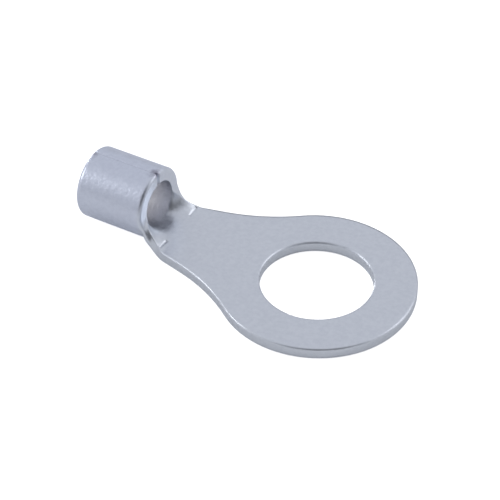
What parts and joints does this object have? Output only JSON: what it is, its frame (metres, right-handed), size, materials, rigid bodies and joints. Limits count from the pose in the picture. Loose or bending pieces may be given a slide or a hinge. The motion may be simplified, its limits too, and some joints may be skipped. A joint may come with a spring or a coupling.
{
  "type": "ring terminal",
  "caption": "Non-insulated ring terminal: a flat ring on a short neck that rises through an open throat into a brazed round barrel.",
  "frame": {"origin": "centre of the stud hole on the underside of the ring", "axes": "+Z along the stud hole, up out of the flat ring; the barrel and its bore lie towards -X; the part is symmetric about the XZ plane"},
  "size_m": [0.0266, 0.0148, 0.0056],
  "materials": {
    "tin_plate": "satin tin plate over copper, fine matte grain"
  },
  "bodies": {
    "root": {"ring_terminal": "tin_plate"}
  },
  "joints": []
}
